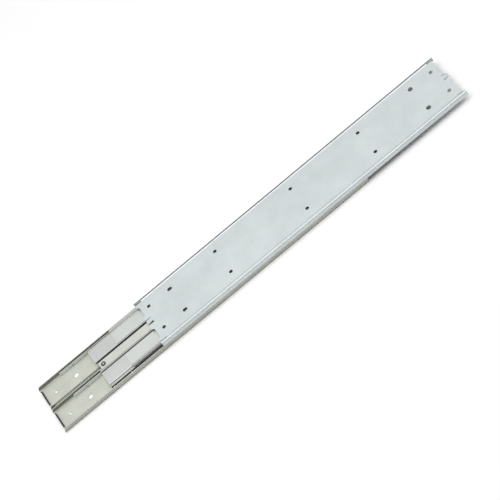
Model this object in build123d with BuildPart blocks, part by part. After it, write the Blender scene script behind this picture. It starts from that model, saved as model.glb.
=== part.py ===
"""Cabinet drawer slide: twin cabinet rails, a ball-guided intermediate deck and a wide drawer plate.

Axes: X along the travel (+X opens), Y across, Z up from the cabinet mounting face at z = 0.
x = 0 is the middle of the cabinet rails. All lengths in millimetres.
"""
import math
import os

from build123d import *

# ---- driving dimensions -------------------------------------------------------------------
LENGTH = 700.0            # cabinet rails and drawer plate
WIDTH = 122.0             # over the outer walls
THICK = 19.1              # over both decks
HOLE_ROW = 32.0           # hole rows sit at y = +-32

SHEET = 1.6               # cabinet rails and drawer plate
DECK_SHEET = 1.2          # intermediate channels
KEEL_SHEET = 0.9          # inner tracks and bridge strip
TRACK_SHEET = 1.1         # upper tracks
CAGE_SHEET = 0.6          # ball retainers
EDGE_H = 9.4              # height of each deck's side walls
CORNER_R = 2.7            # rail bottom corners, on the mid-line
SHOULDER_R = 2.6          # plate shoulders, on the mid-line
STEP_Y = 54.9             # where the plate steps down to its web
STEP_DROP = 0.5
STEP_DEG = 40
SETBACK = 3.8             # web set back from the walls at the plate's front end
SLIT_Y = (53.5, 55.4)     # relief slits at the plate's corners
SLIT_LEN = 15.0
TONGUE_LEN = 12.7
TONGUE_GAP = (-6.2, 8.8)  # opening around each tongue, across the plate
RACE_R = 3.1              # ball track radius
BALL_R = 3.0
POCKET_R = 3.15           # ball pockets in the retainers

Y_OUT = WIDTH / 2 - SHEET - RACE_R  # 56.3, outer ball line
Y_IN = 3.0 + SHEET + RACE_R         # 7.7, inner ball line
Z_LOW = SHEET + RACE_R              # lower ball line
Z_UP = THICK - SHEET - RACE_R       # upper ball line

# stored pose, measured from the cabinet rails' rear end
CAB_X = -LENGTH / 2                 # rear end of the cabinet rails
MID_X = CAB_X + 113.4               # rear end of the intermediate deck
PLATE_X = CAB_X + 232.4             # rear end of the drawer plate
MID_LEN = 666.0
LOW_CAGE_X = CAB_X + 48.8           # rear end of the lower retainers
LOW_CAGE_LEN = 500.0
TRACK_X = MID_X + 53.4              # rear end of the upper tracks
TRACK_LEN = MID_LEN - 55.4
UP_CAGE_X = MID_X + 123.0           # rear end of the upper retainers
UP_CAGE_LEN = 420.0
BALL_PITCH = 40.0
BALL_INSET = 11.0

DECK_Z = 10.3                       # intermediate web mid-plane, faces at 9.7 and 10.9
TRACK_Z = 11.45                     # upper track mid-plane, faces at 10.9 and 12.0
FLANGE_Z = 10.15                    # keel flange mid-plane, faces at 9.7 and 10.6
FLOOR_Z = 2.45                      # trough floor mid-plane
STRIP_Z = FLANGE_Z + KEEL_SHEET / 2

# hole stations from each member's rear end
CABINET_SCREW_X = [24.8, 200.0, 350.0, 500.0, 675.2]
CABINET_ACCESS_X = [72.4, 627.6]
PLATE_ROUND_X = [20.9, 175.4, 351.8, 509.4]
PLATE_SLOT_X = 69.6
PLATE_WIDE_X = 632.2
PLATE_END_X = 679.9


# ---- helpers ------------------------------------------------------------------------------
def sheet_outline(start, heading, moves, t):
    """Closed outline of a bent sheet of thickness t along a centreline of lines and arcs.

    moves holds ("L", length) and ("A", radius, degrees), positive degrees turning left.
    """
    x, y, a = start[0], start[1], math.radians(heading)
    left, right = [], []

    def side(px, py, ang, off):
        return (px - off * math.sin(ang), py + off * math.cos(ang))

    for m in moves:
        if m[0] == "L":
            x2, y2, a2 = x + m[1] * math.cos(a), y + m[1] * math.sin(a), a
            for store, off in ((left, t / 2), (right, -t / 2)):
                store.append((side(x, y, a, off), None, side(x2, y2, a2, off)))
        else:
            r, turn = m[1], math.radians(m[2])
            s = 1 if turn > 0 else -1
            cx, cy = x - s * r * math.sin(a), y + s * r * math.cos(a)

            def at(ang):
                return (cx + s * r * math.sin(ang), cy - s * r * math.cos(ang))

            a2, am = a + turn, a + turn / 2
            (x2, y2), (xm, ym) = at(a2), at(am)
            for store, off in ((left, t / 2), (right, -t / 2)):
                store.append((side(x, y, a, off), side(xm, ym, am, off), side(x2, y2, a2, off)))
        x, y, a = x2, y2, a2
    back = [(e, m, s) for s, m, e in reversed(right)]
    cap_end = [(left[-1][2], None, right[-1][2])]
    cap_start = [(right[0][0], None, left[0][0])]
    return left + cap_end + back + cap_start


def bar(outline, x0, length, mirror=False):
    """Extrude a cross-section along X, its lateral coordinate flipped if mirrored."""
    k = -1 if mirror else 1
    with BuildLine(Plane.YZ.offset(x0)) as edge:
        for s, m, e in outline:
            s, e = (k * s[0], s[1]), (k * e[0], e[1])
            if m is None:
                Line(s, e)
            else:
                ThreePointArc(s, (k * m[0], m[1]), e)
    extrude(Face(Wire(edge.edges())), amount=length, dir=(1, 0, 0))


def block(x0, x1, y0, y1, z0, z1, mode=Mode.ADD):
    """Box between two corners in the active part."""
    with Locations(((x0 + x1) / 2, (y0 + y1) / 2, (z0 + z1) / 2)):
        Box(x1 - x0, y1 - y0, z1 - z0, mode=mode)


def holes(points, radius, z0, z1):
    """Vertical round holes through the active part."""
    with Locations(*[(x, y, (z0 + z1) / 2) for x, y in points]):
        Cylinder(radius, z1 - z0, mode=Mode.SUBTRACT)


def ball_stations(x0, length):
    """Ball centres along a retainer."""
    n = int((length - 2 * BALL_INSET) // BALL_PITCH) + 1
    first = x0 + (length - (n - 1) * BALL_PITCH) / 2
    return [first + i * BALL_PITCH for i in range(n)]


LOW_BALLS = ball_stations(LOW_CAGE_X, LOW_CAGE_LEN)
UP_BALLS = ball_stations(UP_CAGE_X, UP_CAGE_LEN)

# ---- cross-sections, drawn for the far (+Y) side -------------------------------------------
def on_circle(cy, cz, r, deg):
    """Point on a circle in the cross-section plane."""
    return (cy + r * math.cos(math.radians(deg)), cz + r * math.sin(math.radians(deg)))


# cabinet rail: web between two upright walls, rounded at the bottom corners
_inner_wall, _outer_wall = Y_IN - RACE_R - SHEET / 2, WIDTH / 2 - SHEET / 2
_upright = EDGE_H - SHEET / 2 - CORNER_R
CABINET_SECTION = sheet_outline(
    (_inner_wall, EDGE_H), -90,
    [("L", _upright), ("A", CORNER_R, 90), ("L", _outer_wall - _inner_wall - 2 * CORNER_R),
     ("A", CORNER_R, 90), ("L", _upright)], SHEET)

# drawer plate: upright walls, rounded shoulders, a shallow step down to the web
_step_r = STEP_DROP / (2 * (1 - math.cos(math.radians(STEP_DEG))))
_step_run = 2 * _step_r * math.sin(math.radians(STEP_DEG))
_wall_run = EDGE_H - SHEET / 2 - SHOULDER_R
_flat = _outer_wall - SHOULDER_R - STEP_Y
PLATE_SECTION = sheet_outline(
    (-_outer_wall, THICK - EDGE_H), 90,
    [("L", _wall_run), ("A", SHOULDER_R, -90), ("L", _flat),
     ("A", _step_r, -STEP_DEG), ("A", _step_r, STEP_DEG), ("L", 2 * (STEP_Y - _step_run)),
     ("A", _step_r, STEP_DEG), ("A", _step_r, -STEP_DEG), ("L", _flat),
     ("A", SHOULDER_R, -90), ("L", _wall_run)], SHEET)

# intermediate channel: web, short drop, shoulder, outer ball track
_mid = RACE_R + DECK_SHEET / 2
_s8, _c8 = math.sin(math.radians(8)), math.cos(math.radians(8))
_s115, _c115 = math.sin(math.radians(115)), math.cos(math.radians(115))
_race = on_circle(Y_OUT, Z_LOW, _mid, 155)
_y1, _z1 = 48.1 + 0.9 * (1 - _s8), DECK_Z - 1.0 - 0.9 * _c8
_dy, _dz = _race[0] - _y1, _z1 - _race[1]
_r2 = (_dz - _dy * _s8 / _c8) / ((_c8 - _c115) - (_s115 - _s8) * _s8 / _c8)
_run = (_dy - (_s115 - _s8) * _r2) / _c8
CHANNEL_SECTION = sheet_outline(
    (15.2, DECK_Z), 0,
    [("L", 47.1 - 15.2), ("A", 1.0, -90), ("A", 0.9, 82), ("L", _run), ("A", _r2, -107),
     ("A", _mid, 60)], DECK_SHEET)

# keel: flange under the bridge strip, inner ball track, trough floor, wall, flange under the web
_keel = RACE_R + KEEL_SHEET / 2
_top = on_circle(Y_IN, Z_LOW, _keel, 25)
_y_wall = _top[0] - 2.0 * (1 - math.cos(math.radians(25)))
_z_wall = _top[1] + 2.0 * math.sin(math.radians(25))
_low = on_circle(Y_IN, Z_LOW, _keel, -10)
_r_low = (_low[1] - FLOOR_Z) / (1 + math.cos(math.radians(80)))
_y_floor = _low[0] + _r_low * math.sin(math.radians(100))
_joint_z = DECK_Z - DECK_SHEET / 2 - KEEL_SHEET / 2
KEEL_SECTION = sheet_outline(
    (4.3, FLANGE_Z), 0,
    [("L", _y_wall - 1.2 - 4.3), ("A", 1.2, -90), ("L", FLANGE_Z - 1.2 - _z_wall),
     ("A", 2.0, 25), ("A", _keel, -35), ("A", _r_low, 100), ("L", 25.0 - _y_floor),
     ("A", 1.2, 90), ("L", _joint_z - FLOOR_Z - 2.4), ("A", 1.2, -90), ("L", 9.0)], KEEL_SHEET)

# upper track: sheet on the web with an upturned edge
TRACK_SECTION = sheet_outline(
    (17.0, TRACK_Z), 0, [("L", 30.75), ("A", 1.2, 90), ("L", 3.15)], TRACK_SHEET)


# ---- cabinet rails --------------------------------------------------------------------------
def cabinet_rail(near):
    """One lower rail with its end lip, relief notches, angled wall ends and screw holes."""
    k = -1 if near else 1
    bar(CABINET_SECTION, CAB_X, LENGTH, near)
    # rear end: web cut back between the walls, a bent-up lip left in the middle
    for y0, y1, x1 in ((8.5, 12.0, 5.0), (52.0, 55.5, 5.0), (12.0, 52.0, 2.2)):
        block(CAB_X - 1, CAB_X + x1, min(k * y0, k * y1), max(k * y0, k * y1), -1, 3,
              Mode.SUBTRACT)
    block(CAB_X + 2.2, CAB_X + 3.8, min(k * 12.0, k * 52.0), max(k * 12.0, k * 52.0), 0, 5.4)
    # rear ends of the walls sheared at an angle
    for y0, y1 in ((2.0, 8.5), (55.5, 62.0)):
        with BuildSketch(Plane.XZ.offset(-max(k * y0, k * y1))) as corner:
            Polygon((CAB_X - 1, 3.4), (CAB_X, 3.4), (CAB_X + 4.2, 10.5), (CAB_X - 1, 10.5),
                    align=None)
        extrude(corner.sketch, amount=y1 - y0, dir=(0, -1, 0), mode=Mode.SUBTRACT)
    holes([(CAB_X + x, k * HOLE_ROW) for x in CABINET_SCREW_X], 2.7, -1, 3)
    with Locations(*[(CAB_X + x, k * HOLE_ROW, 1.2) for x in CABINET_SCREW_X]):
        Cone(2.7, 3.9, 0.8, mode=Mode.SUBTRACT)
    holes([(CAB_X + x, k * HOLE_ROW) for x in CABINET_ACCESS_X], 4.8, -1, 3)


with BuildPart() as cabinet_rail_far:
    cabinet_rail(False)

with BuildPart() as cabinet_rail_near:
    cabinet_rail(True)


# ---- spacer blocks between the two rails -----------------------------------------------------
def rail_tie(x0):
    """Spacer block clamped between the two inner walls."""
    block(x0, x0 + 5.8, -3.0, 3.0, 0.6, 8.9)


with BuildPart() as rail_tie_rear:
    rail_tie(CAB_X + 3.4)

with BuildPart() as rail_tie_front:
    rail_tie(CAB_X + LENGTH - 9.0)


# ---- rubber bumpers over the rear lips ------------------------------------------------------
def rear_bumper(near):
    """U-shaped rubber strip pushed over the bent-up lip."""
    k = -1 if near else 1
    block(CAB_X + 1.8, CAB_X + 4.2, min(k * 12.6, k * 51.4), max(k * 12.6, k * 51.4), 1.6, 5.8)
    block(CAB_X + 2.2, CAB_X + 3.8, min(k * 11.0, k * 53.0), max(k * 11.0, k * 53.0), 0, 5.4,
          Mode.SUBTRACT)


with BuildPart() as rear_bumper_far:
    rear_bumper(False)

with BuildPart() as rear_bumper_near:
    rear_bumper(True)


# ---- stop lugs: on the cabinet web, and under the intermediate web --------------------------
def lug(x0, y_mid, z0, z1, foot_z):
    """Angle lug: an upright leg with a flat foot, 8 wide."""
    block(x0, x0 + 2.0, y_mid - 4, y_mid + 4, z0, z1)
    block(x0 + 2.0, x0 + 11.0, y_mid - 4, y_mid + 4, foot_z, foot_z + 1.5)


with BuildPart() as cabinet_stop_far:
    lug(CAB_X + 684.2, 42.5, SHEET, 8.2, SHEET)

with BuildPart() as cabinet_stop_near:
    lug(CAB_X + 684.2, -42.5, SHEET, 8.2, SHEET)

with BuildPart() as intermediate_stop_far:
    lug(MID_X + 306.0, 42.5, 2.6, 9.7, 8.2)
    block(MID_X + 314.8, MID_X + 317.0, 38.5, 46.5, 2.6, 9.7)

with BuildPart() as intermediate_stop_near:
    lug(MID_X + 306.0, -42.5, 2.6, 9.7, 8.2)
    block(MID_X + 314.8, MID_X + 317.0, -46.5, -38.5, 2.6, 9.7)


# ---- lower ball retainers and balls ---------------------------------------------------------
def cage(x0, length, y_mid, z0, z1):
    """Comb strip beside a row of balls: a spine along one edge and teeth between the balls."""
    block(x0, x0 + length, y_mid - CAGE_SHEET / 2, y_mid + CAGE_SHEET / 2, z0, z1)


def pockets(xs, y, z):
    """Round ball pockets."""
    with Locations(*[(x, y, z) for x in xs]):
        Sphere(POCKET_R, mode=Mode.SUBTRACT)


def balls(xs, y, z):
    """A row of steel balls."""
    with Locations(*[(x, y, z) for x in xs]):
        Sphere(BALL_R)


CAGE_OUT = Y_OUT - 1.5

with BuildPart() as lower_retainer_outer_far:
    cage(LOW_CAGE_X, LOW_CAGE_LEN, Y_OUT - 1.5, 2.1, 9.2)
    pockets(LOW_BALLS, Y_OUT, Z_LOW)

with BuildPart() as lower_retainer_inner_far:
    cage(LOW_CAGE_X, LOW_CAGE_LEN, Y_IN - 1.5, 2.1, 8.2)
    pockets(LOW_BALLS, Y_IN, Z_LOW)

with BuildPart() as lower_retainer_inner_near:
    cage(LOW_CAGE_X, LOW_CAGE_LEN, -Y_IN - 1.5, 2.1, 9.2)
    pockets(LOW_BALLS, -Y_IN, Z_LOW)

with BuildPart() as lower_retainer_outer_near:
    cage(LOW_CAGE_X, LOW_CAGE_LEN, -Y_OUT - 1.5, 2.1, 8.2)
    pockets(LOW_BALLS, -Y_OUT, Z_LOW)

with BuildPart() as lower_balls_outer_far:
    balls(LOW_BALLS, Y_OUT, Z_LOW)

with BuildPart() as lower_balls_inner_far:
    balls(LOW_BALLS, Y_IN, Z_LOW)

with BuildPart() as lower_balls_inner_near:
    balls(LOW_BALLS, -Y_IN, Z_LOW)

with BuildPart() as lower_balls_outer_near:
    balls(LOW_BALLS, -Y_OUT, Z_LOW)

# ---- intermediate deck ----------------------------------------------------------------------
with BuildPart() as intermediate_channel_far:
    bar(CHANNEL_SECTION, MID_X, MID_LEN)

with BuildPart() as intermediate_channel_near:
    bar(CHANNEL_SECTION, MID_X, MID_LEN, True)

with BuildPart() as intermediate_keel_far:
    bar(KEEL_SECTION, MID_X, MID_LEN)

with BuildPart() as intermediate_keel_near:
    bar(KEEL_SECTION, MID_X, MID_LEN, True)

with BuildPart() as upper_track_far:
    bar(TRACK_SECTION, TRACK_X, TRACK_LEN)

with BuildPart() as upper_track_near:
    bar(TRACK_SECTION, TRACK_X, TRACK_LEN, True)


def upper_race(k):
    """Grooved steel bar on the outer side of the upturned edge."""
    y0, y1 = 49.5, 54.2
    block(TRACK_X + 1.0, TRACK_X + TRACK_LEN - 1.0, min(k * y0, k * y1), max(k * y0, k * y1),
          12.0, 15.6)
    with Locations(Location((TRACK_X + TRACK_LEN / 2, k * Y_OUT, Z_UP), (0, 90, 0))):
        Cylinder(RACE_R, TRACK_LEN + 10, mode=Mode.SUBTRACT)


with BuildPart() as upper_race_far:
    upper_race(1)

with BuildPart() as upper_race_near:
    upper_race(-1)

STRIP_X = MID_X + 4.7
STRIP_LEN = MID_LEN - 9.4
with BuildPart() as bridge_strip:
    with BuildSketch(Plane.XY.offset(STRIP_Z)):
        with Locations((STRIP_X + STRIP_LEN / 2, 0)):
            RectangleRounded(STRIP_LEN, 18.8, 3.5)
    extrude(amount=KEEL_SHEET)
    holes([(MID_X + 12.4, 0)], 2.2, STRIP_Z - 1, STRIP_Z + 2)

STRIP_TOP = STRIP_Z + KEEL_SHEET
with BuildPart() as rear_stop_pin:
    with Locations((MID_X + 12.4, 0, STRIP_Z + 0.7)):
        Cylinder(2.2, 3.2)
    with Locations((MID_X + 12.4, 0, STRIP_Z - 0.6)):
        Cylinder(3.4, 1.2)

with BuildPart() as rear_stop_ring:
    with Locations((MID_X + 12.4, 0, STRIP_TOP + 0.6)):
        Cylinder(4.6, 1.2)
        Cylinder(2.2, 2.0, mode=Mode.SUBTRACT)

with BuildPart() as front_stop:
    block(MID_X + 347.2, MID_X + 353.0, -6.0, 6.0, STRIP_TOP, 16.0)
    block(MID_X + 353.0, MID_X + 364.0, -6.0, 6.0, STRIP_TOP, STRIP_TOP + 1.2)

RIVET_X = [MID_X + 190.0, MID_X + 290.0, MID_X + 430.0, MID_X + 530.0, MID_X + 640.0]
with BuildPart() as bridge_rivets:
    with Locations(*[(x, y, STRIP_TOP + 0.35) for x in RIVET_X for y in (-6.6, 6.6)]):
        Cylinder(1.8, 0.7)


# ---- upper ball retainers and balls ---------------------------------------------------------
with BuildPart() as upper_retainer_far:
    cage(UP_CAGE_X, UP_CAGE_LEN, CAGE_OUT, 10.2, 16.6)
    pockets(UP_BALLS, Y_OUT, Z_UP)

with BuildPart() as upper_retainer_near:
    cage(UP_CAGE_X, UP_CAGE_LEN, -CAGE_OUT, 10.2, 16.6)
    pockets(UP_BALLS, -Y_OUT, Z_UP)

with BuildPart() as upper_balls_far:
    balls(UP_BALLS, Y_OUT, Z_UP)

with BuildPart() as upper_balls_near:
    balls(UP_BALLS, -Y_OUT, Z_UP)


# ---- drawer plate ---------------------------------------------------------------------------
def tongue_opening(x_end, inward):
    """Slots at one end of the plate with a tongue between them, bent slightly down."""
    x_in = x_end + inward * TONGUE_LEN
    x_bend = x_in - inward * 4.0
    x_tip = x_end + inward * 0.4
    x0, x1 = sorted((x_end - inward, x_in))
    block(x0, x1, TONGUE_GAP[0], TONGUE_GAP[1], 16, 20, Mode.SUBTRACT)
    pts = [(x_in, 18.6), (x_bend, 18.2), (x_tip, 17.0), (x_tip, 15.4), (x_bend, 16.6),
           (x_in, 17.0)]
    with BuildSketch(Plane.XZ.offset(-8.0)) as side_view:
        Polygon(*pts, align=None)
    extrude(side_view.sketch, amount=9.5, dir=(0, -1, 0))


with BuildPart() as drawer_plate:
    bar(PLATE_SECTION, PLATE_X, LENGTH)
    plate_front = PLATE_X + LENGTH
    # two shallow cut-outs in the rear end
    with BuildSketch(Plane.XY.offset(16.5)):
        with Locations((PLATE_X, HOLE_ROW), (PLATE_X, -HOLE_ROW)):
            RectangleRounded(10.0, 28.0, 4.0)
    extrude(amount=3, mode=Mode.SUBTRACT)
    # relief slits between the web and the shoulders at the four corners
    for k in (1, -1):
        y0, y1 = sorted((k * SLIT_Y[0], k * SLIT_Y[1]))
        for x0, x1 in ((PLATE_X - 1, PLATE_X + SLIT_LEN), (plate_front - SLIT_LEN, plate_front + 1)):
            block(x0, x1, y0, y1, 16.5, 20, Mode.SUBTRACT)
    # front end: web set back between the walls, with two shallow scallops
    with BuildSketch(Plane.XY.offset(16.5)):
        for y0, y1 in ((-SLIT_Y[1], TONGUE_GAP[0]), (TONGUE_GAP[1], SLIT_Y[1])):
            with Locations((plate_front, (y0 + y1) / 2)):
                Rectangle(2 * SETBACK, y1 - y0)
        with Locations((plate_front, HOLE_ROW), (plate_front, -HOLE_ROW)):
            RectangleRounded(11.6, 24.0, 1.8)
    extrude(amount=3, mode=Mode.SUBTRACT)
    tongue_opening(PLATE_X, 1)
    tongue_opening(plate_front, -1)
    rows = (HOLE_ROW, -HOLE_ROW)
    holes([(PLATE_X + x, y) for x in PLATE_ROUND_X for y in rows], 3.7, 16.5, 19)
    holes([(PLATE_X + PLATE_WIDE_X, y) for y in rows], 4.8, 16.5, 19)
    holes([(PLATE_X + PLATE_END_X, y) for y in rows], 4.0, 16.5, 19)
    with BuildSketch(Plane.XY.offset(16.5)):
        with Locations((PLATE_X + PLATE_SLOT_X, HOLE_ROW), (PLATE_X + PLATE_SLOT_X, -HOLE_ROW)):
            SlotOverall(9.8, 7.4)
    extrude(amount=3, mode=Mode.SUBTRACT)


# ---- export ---------------------------------------------------------------------------------
os.makedirs("parts", exist_ok=True)

PARTS = {
    "cabinet_rail_far": cabinet_rail_far, "cabinet_rail_near": cabinet_rail_near,
    "rail_tie_rear": rail_tie_rear, "rail_tie_front": rail_tie_front,
    "rear_bumper_far": rear_bumper_far, "rear_bumper_near": rear_bumper_near,
    "cabinet_stop_far": cabinet_stop_far, "cabinet_stop_near": cabinet_stop_near,
    "lower_retainer_outer_far": lower_retainer_outer_far,
    "lower_retainer_inner_far": lower_retainer_inner_far,
    "lower_retainer_inner_near": lower_retainer_inner_near,
    "lower_retainer_outer_near": lower_retainer_outer_near,
    "lower_balls_outer_far": lower_balls_outer_far,
    "lower_balls_inner_far": lower_balls_inner_far,
    "lower_balls_inner_near": lower_balls_inner_near,
    "lower_balls_outer_near": lower_balls_outer_near,
    "intermediate_keel_far": intermediate_keel_far,
    "intermediate_keel_near": intermediate_keel_near,
    "upper_track_far": upper_track_far, "upper_track_near": upper_track_near,
    "upper_race_far": upper_race_far, "upper_race_near": upper_race_near,
    "intermediate_channel_far": intermediate_channel_far,
    "intermediate_channel_near": intermediate_channel_near,
    "intermediate_stop_far": intermediate_stop_far,
    "intermediate_stop_near": intermediate_stop_near,
    "bridge_strip": bridge_strip, "bridge_rivets": bridge_rivets,
    "rear_stop_pin": rear_stop_pin, "rear_stop_ring": rear_stop_ring, "front_stop": front_stop,
    "upper_retainer_far": upper_retainer_far, "upper_retainer_near": upper_retainer_near,
    "upper_balls_far": upper_balls_far, "upper_balls_near": upper_balls_near,
    "drawer_plate": drawer_plate,
}

for part_name, built in PARTS.items():
    built.part.label = part_name
    export_step(built.part, f"parts/{part_name}.step")
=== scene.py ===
import math

import bpy
from mathutils import Matrix, Vector


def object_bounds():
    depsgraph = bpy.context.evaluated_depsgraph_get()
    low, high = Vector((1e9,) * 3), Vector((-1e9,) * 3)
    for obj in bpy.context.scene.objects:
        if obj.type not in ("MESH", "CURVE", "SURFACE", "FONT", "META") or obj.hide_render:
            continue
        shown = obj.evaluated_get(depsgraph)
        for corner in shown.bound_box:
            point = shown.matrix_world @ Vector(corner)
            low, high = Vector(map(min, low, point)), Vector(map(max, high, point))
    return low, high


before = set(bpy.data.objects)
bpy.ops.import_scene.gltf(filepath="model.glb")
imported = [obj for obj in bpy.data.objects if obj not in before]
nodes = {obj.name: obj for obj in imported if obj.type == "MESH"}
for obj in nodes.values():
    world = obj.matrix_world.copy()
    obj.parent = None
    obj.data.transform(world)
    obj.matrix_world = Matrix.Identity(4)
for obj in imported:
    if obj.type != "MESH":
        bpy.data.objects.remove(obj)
size_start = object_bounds()


# ---- materials ------------------------------------------------------------------------------
def principled(name):
    """New material with a Principled shader wired to its output."""
    mat = bpy.data.materials.new(name)
    mat.use_nodes = True
    nt = mat.node_tree
    nt.nodes.clear()
    out = nt.nodes.new("ShaderNodeOutputMaterial")
    sh = nt.nodes.new("ShaderNodeBsdfPrincipled")
    nt.links.new(sh.outputs["BSDF"], out.inputs["Surface"])
    return mat, nt, sh


def coords(nt, scale):
    tc = nt.nodes.new("ShaderNodeTexCoord")
    mp = nt.nodes.new("ShaderNodeMapping")
    mp.inputs["Scale"].default_value = scale
    nt.links.new(tc.outputs["Object"], mp.inputs["Vector"])
    return mp.outputs["Vector"]


def noise(nt, vec, scale, detail=4.0, rough=0.5):
    n = nt.nodes.new("ShaderNodeTexNoise")
    n.inputs["Scale"].default_value = scale
    n.inputs["Detail"].default_value = detail
    n.inputs["Roughness"].default_value = rough
    nt.links.new(vec, n.inputs["Vector"])
    return n.outputs["Fac"]


def ramp(nt, fac, lo, hi, c0, c1):
    r = nt.nodes.new("ShaderNodeValToRGB")
    r.color_ramp.elements[0].position = lo
    r.color_ramp.elements[1].position = hi
    r.color_ramp.elements[0].color = (*c0, 1)
    r.color_ramp.elements[1].color = (*c1, 1)
    nt.links.new(fac, r.inputs["Fac"])
    return r.outputs["Color"]


def maprange(nt, fac, lo, hi):
    m = nt.nodes.new("ShaderNodeMapRange")
    m.inputs["To Min"].default_value = lo
    m.inputs["To Max"].default_value = hi
    nt.links.new(fac, m.inputs["Value"])
    return m.outputs["Result"]


def math_node(nt, op, a, b):
    """Maths on a socket and a constant, or on two sockets."""
    m = nt.nodes.new("ShaderNodeMath")
    m.operation = op
    nt.links.new(a, m.inputs[0])
    if isinstance(b, (int, float)):
        m.inputs[1].default_value = b
    else:
        nt.links.new(b, m.inputs[1])
    return m.outputs["Value"]


def painted_shade_mask(nt, centre, half, mirrored):
    """Mask for painted shade, 1 inside a strip along the length, on both sides of the slide if
    mirrored.
    """
    tc = nt.nodes.new("ShaderNodeTexCoord")
    sep = nt.nodes.new("ShaderNodeSeparateXYZ")
    nt.links.new(tc.outputs["Object"], sep.inputs["Vector"])
    y = sep.outputs["Y"]
    if mirrored:
        y = math_node(nt, "ABSOLUTE", y, 0.0)
    off = math_node(nt, "ABSOLUTE", math_node(nt, "SUBTRACT", y, centre), 0.0)
    return math_node(nt, "LESS_THAN", off, half)


def zinc(name, col, metallic=0.55, rough=0.42, mottle=0.035, grain=0.12, painted_shade_strips=()):
    """Zinc-plated cold-rolled sheet: faint mottling, rolling grain along the length.

    Each painted shade strip darkens the colour along the length, on ball tracks, walls and edges:
    the distance of the strip from the middle, its half width, whether both sides have it, and its
    tone.
    """
    mat, nt, sh = principled(name)
    cloud = noise(nt, coords(nt, (1, 1, 1)), 22.0, 5.0, 0.6)
    c0 = tuple(max(0.0, c - mottle) for c in col)
    c1 = tuple(min(1.0, c + mottle) for c in col)
    base = ramp(nt, cloud, 0.32, 0.68, c0, c1)
    # painted shade: each strip multiplies the colour darker along the length
    for centre, half, mirrored, tone in painted_shade_strips:
        mix = nt.nodes.new("ShaderNodeMix")
        mix.data_type = "RGBA"
        mix.blend_type = "MULTIPLY"
        nt.links.new(painted_shade_mask(nt, centre, half, mirrored), mix.inputs["Factor"])
        nt.links.new(base, mix.inputs[6])
        mix.inputs[7].default_value = (tone, tone, tone, 1)
        base = mix.outputs[2]
    nt.links.new(base, sh.inputs["Base Color"])
    lines = noise(nt, coords(nt, (6, 700, 700)), 1.0, 3.0, 0.55)
    nt.links.new(maprange(nt, lines, rough - 0.07, rough + 0.07), sh.inputs["Roughness"])
    bump = nt.nodes.new("ShaderNodeBump")
    bump.inputs["Strength"].default_value = grain
    bump.inputs["Distance"].default_value = 0.00003
    nt.links.new(lines, bump.inputs["Height"])
    nt.links.new(bump.outputs["Normal"], sh.inputs["Normal"])
    sh.inputs["Metallic"].default_value = metallic
    return mat


def plain_metal(name, col, rough=0.3, metallic=1.0):
    mat, nt, sh = principled(name)
    n = noise(nt, coords(nt, (1, 1, 1)), 260.0, 3.0)
    nt.links.new(maprange(nt, n, rough - 0.05, rough + 0.08), sh.inputs["Roughness"])
    nt.links.new(ramp(nt, n, 0.3, 0.7, tuple(c * 0.94 for c in col), col), sh.inputs["Base Color"])
    sh.inputs["Metallic"].default_value = metallic
    return mat


def soft_black(name, col, rough):
    mat, nt, sh = principled(name)
    n = noise(nt, coords(nt, (1, 1, 1)), 900.0, 4.0)
    nt.links.new(ramp(nt, n, 0.3, 0.7, tuple(c * 0.7 for c in col), tuple(c * 1.35 for c in col)),
                 sh.inputs["Base Color"])
    nt.links.new(maprange(nt, n, rough - 0.06, rough + 0.06), sh.inputs["Roughness"])
    bump = nt.nodes.new("ShaderNodeBump")
    bump.inputs["Strength"].default_value = 0.25
    bump.inputs["Distance"].default_value = 0.00004
    nt.links.new(n, bump.inputs["Height"])
    nt.links.new(bump.outputs["Normal"], sh.inputs["Normal"])
    return mat


BOTH_SIDES, ONE_SIDE = True, False
PLATE_PAINTED_SHADE = ((0.0588, 0.0024, ONE_SIDE, 0.2),      # far rolled edge, painted shade
               (-0.0572, 0.0023, ONE_SIDE, 0.84))    # near shoulder, painted shade dimming its highlight
CABINET_PAINTED_SHADE = ((0.0052, 0.0007, BOTH_SIDES, 0.42),   # inner walls, inside, painted shade
                 (0.0588, 0.0007, BOTH_SIDES, 0.42),   # outer walls, inside, painted shade
                 (-0.0612, 0.0012, ONE_SIDE, 0.72))    # near outer wall, outside, painted shade
CHANNEL_PAINTED_SHADE = ((0.0550, 0.00185, BOTH_SIDES, 0.14),   # ball tracks, painted shade
                 (-0.0507, 0.00235, ONE_SIDE, 0.6))     # near shoulder, painted shade

M = {
    "plate": zinc("zinc_plate", (0.625, 0.67, 0.675), painted_shade_strips=PLATE_PAINTED_SHADE),
    "cabinet": zinc("zinc_cabinet", (0.585, 0.60, 0.535), painted_shade_strips=CABINET_PAINTED_SHADE),
    "tray": zinc("zinc_tray", (0.63, 0.655, 0.63)),
    "strip": zinc("zinc_strip", (0.62, 0.64, 0.595)),
    "channel": zinc("zinc_channel", (0.575, 0.59, 0.578), painted_shade_strips=CHANNEL_PAINTED_SHADE),
    # painted shade: the keel is darker than the other zinc to deepen the shade where it is seen
    # down in the gaps
    "keel": zinc("zinc_keel_painted_shade", (0.42, 0.43, 0.41), rough=0.5),
    "cage": zinc("zinc_cage", (0.80, 0.82, 0.79), metallic=0.25),
    "lug": zinc("zinc_lug", (0.58, 0.59, 0.58)),
    "pin": plain_metal("pin_steel", (0.62, 0.62, 0.60), 0.32),
    "ball": plain_metal("ball_steel", (0.78, 0.78, 0.79), 0.12),
    "rubber": soft_black("black_rubber", (0.02, 0.02, 0.02), 0.7),
    "clip": soft_black("black_clip", (0.025, 0.025, 0.027), 0.5),
}


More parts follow.
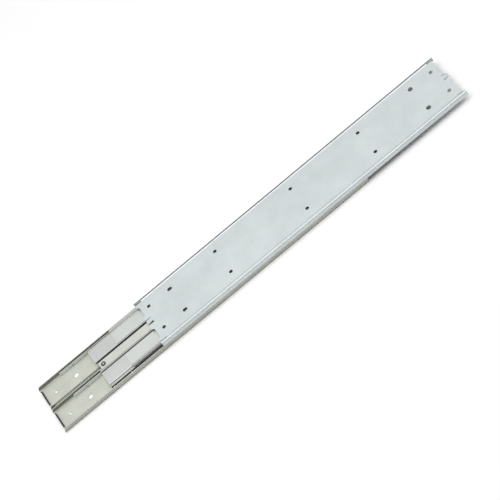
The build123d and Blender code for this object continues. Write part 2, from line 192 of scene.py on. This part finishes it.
def finish_for(name):
    """Which material a piece gets."""
    if name == "drawer_plate":
        return "plate"
    if name.startswith("cabinet_rail"):
        return "cabinet"
    if name.startswith("upper_track"):
        return "tray"
    if name.startswith("upper_race"):
        return "pin"
    if name.startswith("intermediate_channel"):
        return "channel"
    if name.startswith("intermediate_keel"):
        return "keel"
    if name == "bridge_strip":
        return "strip"
    if "retainer" in name:
        return "cage"
    if "balls" in name:
        return "ball"
    if name in ("rear_stop_pin", "bridge_rivets"):
        return "pin"
    if "bumper" in name or name == "rear_stop_ring":
        return "rubber"
    if "tie" in name:
        return "clip"
    return "lug"


def shade(obj):
    """Smooth rolled surfaces; the weighted normals keep folds and cut edges crisp."""
    for p in obj.data.polygons:
        p.use_smooth = True


EDGE_BREAK, WELD_GAP = 0.00012, 0.000002
for name, obj in nodes.items():
    kind = finish_for(name)
    obj.data.materials.clear()
    obj.data.materials.append(M[kind])
    weld = obj.modifiers.new("weld", "WELD")
    weld.merge_threshold = WELD_GAP
    if kind not in ("ball",):
        bevel = obj.modifiers.new("edge", "BEVEL")
        bevel.width = EDGE_BREAK
        bevel.segments = 2
        bevel.limit_method = "ANGLE"
        bevel.angle_limit = math.radians(50)
        bevel.use_clamp_overlap = True
        bevel.harden_normals = False
    shade(obj)
    wn = obj.modifiers.new("normals", "WEIGHTED_NORMAL")
    wn.keep_sharp = False

# ---- stage ----------------------------------------------------------------------------------
low_z = size_start[0][2]


def floor_material():
    mat, nt, sh = principled("studio_floor")
    n = noise(nt, coords(nt, (1, 1, 1)), 3.0, 2.0)
    nt.links.new(ramp(nt, n, 0.3, 0.7, (0.90, 0.90, 0.90), (0.92, 0.92, 0.92)),
                 sh.inputs["Base Color"])
    sh.inputs["Roughness"].default_value = 0.9
    return mat


FLOOR_SIZE, FLOOR_GAP = 14, 0.0004
bpy.ops.mesh.primitive_plane_add(size=FLOOR_SIZE, location=(0.1, 0, low_z - FLOOR_GAP))
floor = bpy.context.object
floor.name = "studio_floor"
floor.data.materials.append(floor_material())

# ---- light: a sky that darkens towards the horizon, and one wide lamp overhead --------------
WORLD, TOP = 0.84, 49.5
TOP_PLACE, TOP_AIM, TOP_SIZE = (0.1, 0.1, 2.8), (0.1, 0, 0), (3.0, 2.2)
world = bpy.data.worlds.new("studio")
bpy.context.scene.world = world
world.use_nodes = True
wt = world.node_tree
bg = wt.nodes["Background"]
bg.inputs["Strength"].default_value = WORLD
sky_dir = wt.nodes.new("ShaderNodeTexCoord")
sky_sep = wt.nodes.new("ShaderNodeSeparateXYZ")
sky_ramp = wt.nodes.new("ShaderNodeValToRGB")
el_ = sky_ramp.color_ramp.elements
el_[0].position, el_[0].color = 0.04, (0.10, 0.10, 0.10, 1)
el_[1].position, el_[1].color = 0.55, (0.70, 0.70, 0.70, 1)
top = el_.new(0.85)
top.color = (1.0, 1.0, 1.0, 1)
wt.links.new(sky_dir.outputs["Generated"], sky_sep.inputs["Vector"])
wt.links.new(sky_sep.outputs["Z"], sky_ramp.inputs["Fac"])
wt.links.new(sky_ramp.outputs["Color"], bg.inputs["Color"])


def area(name, loc, target, size, power):
    """Rectangular lamp at loc, aimed at target."""
    data = bpy.data.lights.new(name, "AREA")
    data.energy = power
    data.shape = "RECTANGLE"
    data.size, data.size_y = size
    ob = bpy.data.objects.new(name, data)
    bpy.context.scene.collection.objects.link(ob)
    ob.location = loc
    ob.rotation_euler = (Vector(target) - Vector(loc)).to_track_quat("-Z", "Y").to_euler()


area("top", TOP_PLACE, TOP_AIM, TOP_SIZE, TOP)

# ---- camera ---------------------------------------------------------------------------------
az, el, roll = math.radians(0.312), math.radians(46.177), math.radians(-39.888)
dist, target = 3.7609, Vector((0.10822, -0.00365, 0.0))
back = Vector((math.sin(az) * math.cos(el), -math.cos(az) * math.cos(el), math.sin(el)))
fwd = -back
right = fwd.cross(Vector((0, 0, 1))).normalized()
up = right.cross(fwd)
cr, sr = math.cos(roll), math.sin(roll)
r2, u2 = cr * right + sr * up, -sr * right + cr * up
cam_data = bpy.data.cameras.new("camera")
cam_data.lens = 150.87
cam_data.sensor_width = 36.0
cam_data.clip_start = 0.05
cam_data.clip_end = 100
cam = bpy.data.objects.new("camera", cam_data)
bpy.context.scene.collection.objects.link(cam)
rot = Matrix((r2, u2, back)).transposed()
cam.matrix_world = Matrix.Translation(target + back * dist) @ rot.to_4x4()
bpy.context.scene.camera = cam
bpy.context.scene.view_settings.view_transform = "Standard"
